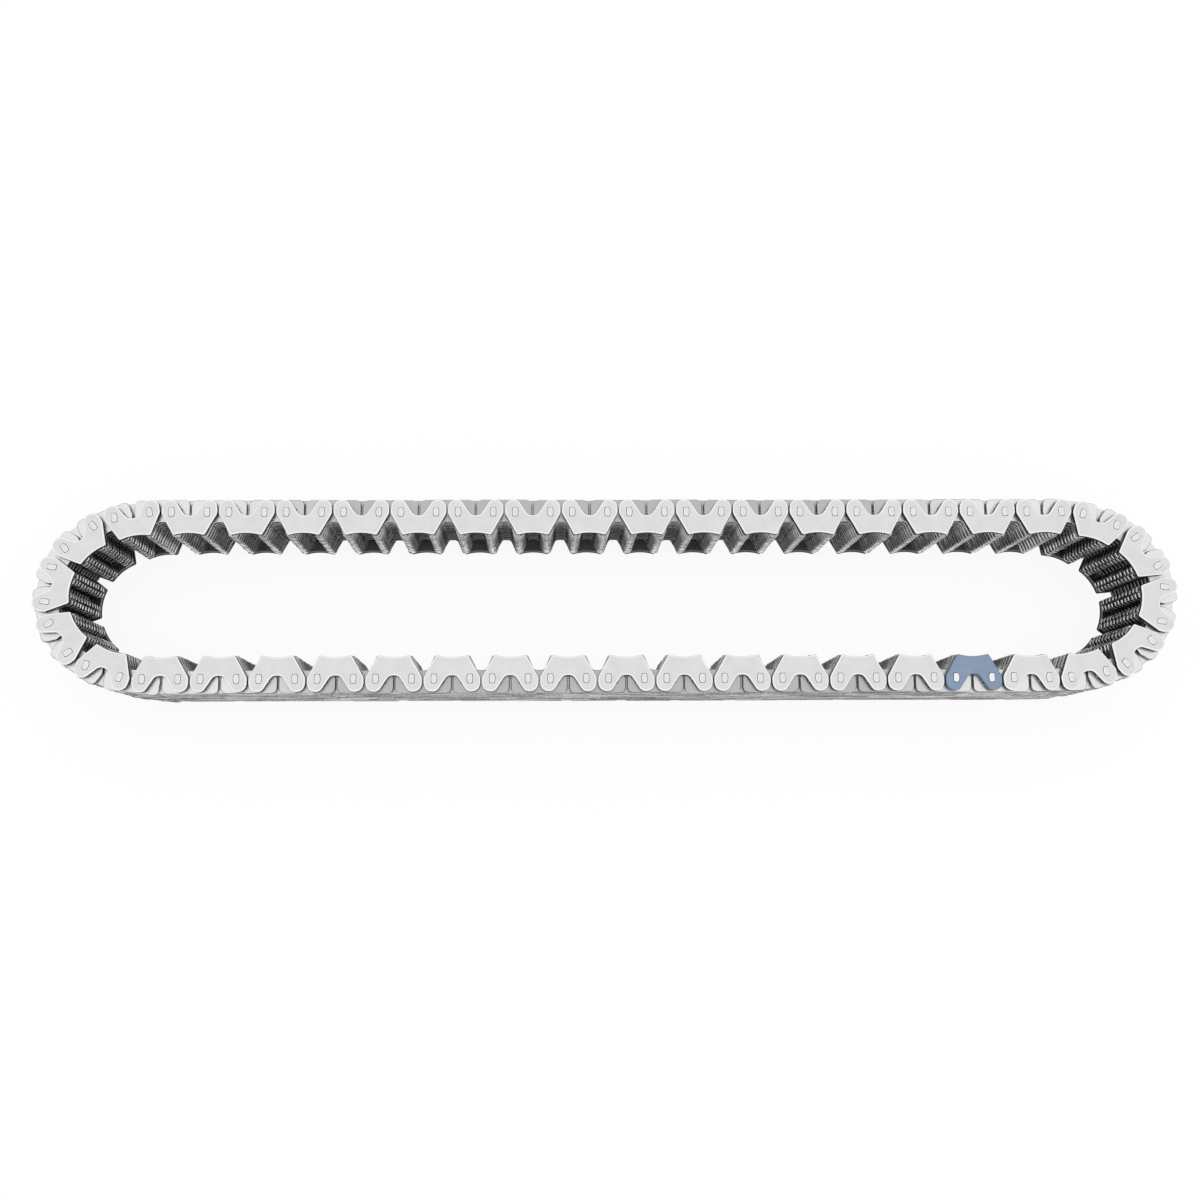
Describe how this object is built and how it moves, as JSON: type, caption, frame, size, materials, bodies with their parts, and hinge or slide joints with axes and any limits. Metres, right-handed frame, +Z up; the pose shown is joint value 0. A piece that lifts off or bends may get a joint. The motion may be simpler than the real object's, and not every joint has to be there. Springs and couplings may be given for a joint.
{
  "type": "inverted-tooth drive chain",
  "caption": "Endless inverted-tooth pump drive chain on its side: laminated toothed links with guide plates and rocker pins, one guide plate painted as a mark.",
  "frame": {"origin": "under the middle of the loop, at the level of the lower pin heads that it lies on", "axes": "+X along the long axis of the loop, +Y from the run with the painted link to the other run, +Z up across the width, along every pin"},
  "size_m": [0.3812, 0.0662, 0.0301],
  "materials": {
    "plate_steel": "brushed",
    "guide_steel": "brushed",
    "pin_steel": "satin",
    "mark_paint": "matte paint on steel"
  },
  "bodies": {
    "marked_link": {"marked_guide_plate": "mark_paint", "lower_guide_plate": "guide_steel", "guide_link_toothed_plate_1": "plate_steel", "guide_link_toothed_plate_2": "plate_steel", "guide_link_toothed_plate_3": "plate_steel", "guide_link_toothed_plate_4": "plate_steel", "guide_link_toothed_plate_5": "plate_steel", "guide_link_toothed_plate_6": "plate_steel", "long_pin_left": "pin_steel", "long_pin_right": "pin_steel"},
    "inner_link_beside_mark": {"inner_link_toothed_plate_1": "plate_steel", "inner_link_toothed_plate_2": "plate_steel", "inner_link_toothed_plate_3": "plate_steel", "inner_link_toothed_plate_4": "plate_steel", "inner_link_toothed_plate_5": "plate_steel", "inner_link_toothed_plate_6": "plate_steel", "rocker_pin_right": "pin_steel"},
    "link_pair_right_end_01": {"link_pair_right_end_01": "guide_steel"},
    "link_pair_right_end_02": {"link_pair_right_end_02": "guide_steel"},
    "link_pair_right_end_03": {"link_pair_right_end_03": "guide_steel"},
    "link_pair_right_end_04": {"link_pair_right_end_04": "guide_steel"},
    "link_pair_right_end_05": {"link_pair_right_end_05": "guide_steel"},
    "link_pair_right_end_06": {"link_pair_right_end_06": "guide_steel"},
    "link_pair_top_run_01": {"link_pair_top_run_01": "guide_steel"},
    "link_pair_top_run_02": {"link_pair_top_run_02": "guide_steel"},
    "link_pair_top_run_03": {"link_pair_top_run_03": "guide_steel"},
    "link_pair_top_run_04": {"link_pair_top_run_04": "guide_steel"},
    "link_pair_top_run_05": {"link_pair_top_run_05": "guide_steel"},
    "link_pair_top_run_06": {"link_pair_top_run_06": "guide_steel"},
    "link_pair_top_run_07": {"link_pair_top_run_07": "guide_steel"},
    "link_pair_top_run_08": {"link_pair_top_run_08": "guide_steel"},
    "link_pair_top_run_09": {"link_pair_top_run_09": "guide_steel"},
    "link_pair_top_run_10": {"link_pair_top_run_10": "guide_steel"},
    "link_pair_top_run_11": {"link_pair_top_run_11": "guide_steel"},
    "link_pair_top_run_12": {"link_pair_top_run_12": "guide_steel"},
    "link_pair_top_run_13": {"link_pair_top_run_13": "guide_steel"},
    "link_pair_top_run_14": {"link_pair_top_run_14": "guide_steel"},
    "guide_link_opposite": {"guide_link_opposite": "guide_steel"},
    "inner_link_opposite": {"inner_link_opposite": "plate_steel"},
    "link_pair_left_end_01": {"link_pair_left_end_01": "guide_steel"},
    "link_pair_left_end_02": {"link_pair_left_end_02": "guide_steel"},
    "link_pair_left_end_03": {"link_pair_left_end_03": "guide_steel"},
    "link_pair_left_end_04": {"link_pair_left_end_04": "guide_steel"},
    "link_pair_left_end_05": {"link_pair_left_end_05": "guide_steel"},
    "link_pair_left_end_06": {"link_pair_left_end_06": "guide_steel"},
    "link_pair_bottom_run_01": {"link_pair_bottom_run_01": "guide_steel"},
    "link_pair_bottom_run_02": {"link_pair_bottom_run_02": "guide_steel"},
    "link_pair_bottom_run_03": {"link_pair_bottom_run_03": "guide_steel"},
    "link_pair_bottom_run_04": {"link_pair_bottom_run_04": "guide_steel"},
    "link_pair_bottom_run_05": {"link_pair_bottom_run_05": "guide_steel"},
    "link_pair_bottom_run_06": {"link_pair_bottom_run_06": "guide_steel"},
    "link_pair_bottom_run_07": {"link_pair_bottom_run_07": "guide_steel"},
    "link_pair_bottom_run_08": {"link_pair_bottom_run_08": "guide_steel"},
    "link_pair_bottom_run_09": {"link_pair_bottom_run_09": "guide_steel"},
    "link_pair_bottom_run_10": {"link_pair_bottom_run_10": "guide_steel"},
    "link_pair_bottom_run_11": {"link_pair_bottom_run_11": "guide_steel"},
    "link_pair_bottom_run_12": {"link_pair_bottom_run_12": "guide_steel"},
    "link_pair_bottom_run_13": {"link_pair_bottom_run_13": "guide_steel"},
    "link_pair_bottom_run_14": {"link_pair_bottom_run_14": "guide_steel", "rocker_pin_left": "pin_steel"}
  },
  "joints": [
    {"name": "pivot_01", "type": "hinge", "parent": "marked_link", "child": "inner_link_beside_mark", "pos_m": [0.12485, -0.028, 0.01505], "axis": [0, 0, 1], "range_deg": [-5, 5]},
    {"name": "pivot_02", "type": "hinge", "parent": "inner_link_beside_mark", "child": "link_pair_right_end_01", "pos_m": [0.13438, -0.028, 0.01505], "axis": [0, 0, -1], "range_deg": [-5, 5]},
    {"name": "pivot_03", "type": "hinge", "parent": "link_pair_right_end_01", "child": "link_pair_right_end_02", "pos_m": [0.15343, -0.0278, 0.01505], "axis": [0, 0, 1], "range_deg": [-13, 5]},
    {"name": "pivot_04", "type": "hinge", "parent": "link_pair_right_end_02", "child": "link_pair_right_end_03", "pos_m": [0.17163, -0.02261, 0.01505], "axis": [0, 0, -1], "range_deg": [-5, 22.1]},
    {"name": "pivot_05", "type": "hinge", "parent": "link_pair_right_end_03", "child": "link_pair_right_end_04", "pos_m": [0.18378, -0.00832, 0.01505], "axis": [0, 0, 1], "range_deg": [-26.6, 5]},
    {"name": "pivot_06", "type": "hinge", "parent": "link_pair_right_end_04", "child": "link_pair_right_end_05", "pos_m": [0.18301, 0.01036, 0.01505], "axis": [0, 0, -1], "range_deg": [-5, 26.4]},
    {"name": "pivot_07", "type": "hinge", "parent": "link_pair_right_end_05", "child": "link_pair_right_end_06", "pos_m": [0.16982, 0.02372, 0.01505], "axis": [0, 0, 1], "range_deg": [-21.4, 5]},
    {"name": "pivot_08", "type": "hinge", "parent": "link_pair_right_end_06", "child": "link_pair_top_run_01", "pos_m": [0.15137, 0.028, 0.01505], "axis": [0, 0, -1], "range_deg": [-5, 11.9]},
    {"name": "pivot_09", "type": "hinge", "parent": "link_pair_top_run_01", "child": "link_pair_top_run_02", "pos_m": [0.13232, 0.028, 0.01505], "axis": [0, 0, 1], "range_deg": [-5, 5]},
    {"name": "pivot_10", "type": "hinge", "parent": "link_pair_top_run_02", "child": "link_pair_top_run_03", "pos_m": [0.11327, 0.028, 0.01505], "axis": [0, 0, -1], "range_deg": [-5, 5]},
    {"name": "pivot_11", "type": "hinge", "parent": "link_pair_top_run_03", "child": "link_pair_top_run_04", "pos_m": [0.09422, 0.028, 0.01505], "axis": [0, 0, 1], "range_deg": [-5, 5]},
    {"name": "pivot_12", "type": "hinge", "parent": "link_pair_top_run_04", "child": "link_pair_top_run_05", "pos_m": [0.07517, 0.028, 0.01505], "axis": [0, 0, 1], "range_deg": [-5, 5]},
    {"name": "pivot_13", "type": "hinge", "parent": "link_pair_top_run_05", "child": "link_pair_top_run_06", "pos_m": [0.05612, 0.028, 0.01505], "axis": [0, 0, -1], "range_deg": [-5, 5]},
    {"name": "pivot_14", "type": "hinge", "parent": "link_pair_top_run_06", "child": "link_pair_top_run_07", "pos_m": [0.03707, 0.028, 0.01505], "axis": [0, 0, 1], "range_deg": [-5, 5]},
    {"name": "pivot_15", "type": "hinge", "parent": "link_pair_top_run_07", "child": "link_pair_top_run_08", "pos_m": [0.01802, 0.028, 0.01505], "axis": [0, 0, -1], "range_deg": [-11.9, 5]},
    {"name": "pivot_16", "type": "hinge", "parent": "link_pair_top_run_08", "child": "link_pair_top_run_09", "pos_m": [-0.00103, 0.028, 0.01505], "axis": [0, 0, 1], "range_deg": [-5, 21.4]},
    {"name": "pivot_17", "type": "hinge", "parent": "link_pair_top_run_09", "child": "link_pair_top_run_10", "pos_m": [-0.02008, 0.028, 0.01505], "axis": [0, 0, -1], "range_deg": [-26.4, 5]},
    {"name": "pivot_18", "type": "hinge", "parent": "link_pair_top_run_10", "child": "link_pair_top_run_11", "pos_m": [-0.03913, 0.028, 0.01505], "axis": [0, 0, 1], "range_deg": [-5, 26.6]},
    {"name": "pivot_19", "type": "hinge", "parent": "link_pair_top_run_11", "child": "link_pair_top_run_12", "pos_m": [-0.05818, 0.028, 0.01505], "axis": [0, 0, -1], "range_deg": [-22.1, 5]},
    {"name": "pivot_20", "type": "hinge", "parent": "link_pair_top_run_12", "child": "link_pair_top_run_13", "pos_m": [-0.07723, 0.028, 0.01505], "axis": [0, 0, 1], "range_deg": [-5, 13]},
    {"name": "pivot_21", "type": "hinge", "parent": "link_pair_top_run_13", "child": "link_pair_top_run_14", "pos_m": [-0.09628, 0.028, 0.01505], "axis": [0, 0, -1], "range_deg": [-5, 5]},
    {"name": "pivot_22", "type": "hinge", "parent": "link_pair_top_run_14", "child": "guide_link_opposite", "pos_m": [-0.11533, 0.028, 0.01505], "axis": [0, 0, 1], "range_deg": [-5, 5]},
    {"name": "pivot_24", "type": "hinge", "parent": "link_pair_left_end_01", "child": "inner_link_opposite", "pos_m": [-0.13438, 0.028, 0.01505], "axis": [0, 0, -1], "range_deg": [-5, 5]},
    {"name": "pivot_25", "type": "hinge", "parent": "link_pair_left_end_02", "child": "link_pair_left_end_01", "pos_m": [-0.15343, 0.0278, 0.01505], "axis": [0, 0, 1], "range_deg": [-5, 13]},
    {"name": "pivot_26", "type": "hinge", "parent": "link_pair_left_end_03", "child": "link_pair_left_end_02", "pos_m": [-0.17163, 0.02261, 0.01505], "axis": [0, 0, -1], "range_deg": [-22.1, 5]},
    {"name": "pivot_27", "type": "hinge", "parent": "link_pair_left_end_04", "child": "link_pair_left_end_03", "pos_m": [-0.18378, 0.00832, 0.01505], "axis": [0, 0, 1], "range_deg": [-5, 26.6]},
    {"name": "pivot_28", "type": "hinge", "parent": "link_pair_left_end_05", "child": "link_pair_left_end_04", "pos_m": [-0.18301, -0.01036, 0.01505], "axis": [0, 0, -1], "range_deg": [-26.4, 5]},
    {"name": "pivot_29", "type": "hinge", "parent": "link_pair_left_end_06", "child": "link_pair_left_end_05", "pos_m": [-0.16982, -0.02372, 0.01505], "axis": [0, 0, 1], "range_deg": [-5, 21.4]},
    {"name": "pivot_30", "type": "hinge", "parent": "link_pair_bottom_run_01", "child": "link_pair_left_end_06", "pos_m": [-0.15137, -0.028, 0.01505], "axis": [0, 0, -1], "range_deg": [-11.9, 5]},
    {"name": "pivot_31", "type": "hinge", "parent": "link_pair_bottom_run_02", "child": "link_pair_bottom_run_01", "pos_m": [-0.13232, -0.028, 0.01505], "axis": [0, 0, 1], "range_deg": [-5, 5]},
    {"name": "pivot_32", "type": "hinge", "parent": "link_pair_bottom_run_03", "child": "link_pair_bottom_run_02", "pos_m": [-0.11327, -0.028, 0.01505], "axis": [0, 0, -1], "range_deg": [-5, 5]},
    {"name": "pivot_33", "type": "hinge", "parent": "link_pair_bottom_run_04", "child": "link_pair_bottom_run_03", "pos_m": [-0.09422, -0.028, 0.01505], "axis": [0, 0, 1], "range_deg": [-5, 5]},
    {"name": "pivot_34", "type": "hinge", "parent": "link_pair_bottom_run_05", "child": "link_pair_bottom_run_04", "pos_m": [-0.07517, -0.028, 0.01505], "axis": [0, 0, 1], "range_deg": [-5, 5]},
    {"name": "pivot_35", "type": "hinge", "parent": "link_pair_bottom_run_06", "child": "link_pair_bottom_run_05", "pos_m": [-0.05612, -0.028, 0.01505], "axis": [0, 0, -1], "range_deg": [-5, 5]},
    {"name": "pivot_36", "type": "hinge", "parent": "link_pair_bottom_run_07", "child": "link_pair_bottom_run_06", "pos_m": [-0.03707, -0.028, 0.01505], "axis": [0, 0, 1], "range_deg": [-5, 5]},
    {"name": "pivot_37", "type": "hinge", "parent": "link_pair_bottom_run_08", "child": "link_pair_bottom_run_07", "pos_m": [-0.01802, -0.028, 0.01505], "axis": [0, 0, -1], "range_deg": [-5, 11.9]},
    {"name": "pivot_38", "type": "hinge", "parent": "link_pair_bottom_run_09", "child": "link_pair_bottom_run_08", "pos_m": [0.00103, -0.028, 0.01505], "axis": [0, 0, 1], "range_deg": [-21.4, 5]},
    {"name": "pivot_39", "type": "hinge", "parent": "link_pair_bottom_run_10", "child": "link_pair_bottom_run_09", "pos_m": [0.02008, -0.028, 0.01505], "axis": [0, 0, -1], "range_deg": [-5, 26.4]},
    {"name": "pivot_40", "type": "hinge", "parent": "link_pair_bottom_run_11", "child": "link_pair_bottom_run_10", "pos_m": [0.03913, -0.028, 0.01505], "axis": [0, 0, 1], "range_deg": [-26.6, 5]},
    {"name": "pivot_41", "type": "hinge", "parent": "link_pair_bottom_run_12", "child": "link_pair_bottom_run_11", "pos_m": [0.05818, -0.028, 0.01505], "axis": [0, 0, -1], "range_deg": [-5, 22.1]},
    {"name": "pivot_42", "type": "hinge", "parent": "link_pair_bottom_run_13", "child": "link_pair_bottom_run_12", "pos_m": [0.07723, -0.028, 0.01505], "axis": [0, 0, 1], "range_deg": [-13, 5]},
    {"name": "pivot_43", "type": "hinge", "parent": "link_pair_bottom_run_14", "child": "link_pair_bottom_run_13", "pos_m": [0.09628, -0.028, 0.01505], "axis": [0, 0, -1], "range_deg": [-5, 5]},
    {"name": "pivot_44", "type": "hinge", "parent": "marked_link", "child": "link_pair_bottom_run_14", "pos_m": [0.11533, -0.028, 0.01505], "axis": [0, 0, 1], "range_deg": [-5, 5]}
  ],
  "couplings": [
    {"joint": "pivot_22", "follows": "pivot_01", "ratio": -1},
    {"joint": "pivot_44", "follows": "pivot_01", "ratio": 1},
    {"joint": "pivot_21", "follows": "pivot_02", "ratio": -1},
    {"joint": "pivot_24", "follows": "pivot_02", "ratio": -1},
    {"joint": "pivot_43", "follows": "pivot_02", "ratio": 1},
    {"joint": "pivot_20", "follows": "pivot_03", "ratio": -1},
    {"joint": "pivot_25", "follows": "pivot_03", "ratio": -1},
    {"joint": "pivot_42", "follows": "pivot_03", "ratio": 1},
    {"joint": "pivot_19", "follows": "pivot_04", "ratio": -1},
    {"joint": "pivot_26", "follows": "pivot_04", "ratio": -1},
    {"joint": "pivot_41", "follows": "pivot_04", "ratio": 1},
    {"joint": "pivot_18", "follows": "pivot_05", "ratio": -1},
    {"joint": "pivot_27", "follows": "pivot_05", "ratio": -1},
    {"joint": "pivot_40", "follows": "pivot_05", "ratio": 1},
    {"joint": "pivot_17", "follows": "pivot_06", "ratio": -1},
    {"joint": "pivot_28", "follows": "pivot_06", "ratio": -1},
    {"joint": "pivot_39", "follows": "pivot_06", "ratio": 1},
    {"joint": "pivot_16", "follows": "pivot_07", "ratio": -1},
    {"joint": "pivot_29", "follows": "pivot_07", "ratio": -1},
    {"joint": "pivot_38", "follows": "pivot_07", "ratio": 1},
    {"joint": "pivot_15", "follows": "pivot_08", "ratio": -1},
    {"joint": "pivot_30", "follows": "pivot_08", "ratio": -1},
    {"joint": "pivot_37", "follows": "pivot_08", "ratio": 1},
    {"joint": "pivot_14", "follows": "pivot_09", "ratio": -1},
    {"joint": "pivot_31", "follows": "pivot_09", "ratio": -1},
    {"joint": "pivot_36", "follows": "pivot_09", "ratio": 1},
    {"joint": "pivot_13", "follows": "pivot_10", "ratio": -1},
    {"joint": "pivot_32", "follows": "pivot_10", "ratio": -1},
    {"joint": "pivot_35", "follows": "pivot_10", "ratio": 1},
    {"joint": "pivot_12", "follows": "pivot_11", "ratio": -1},
    {"joint": "pivot_33", "follows": "pivot_11", "ratio": -1},
    {"joint": "pivot_34", "follows": "pivot_11", "ratio": 1}
  ]
}
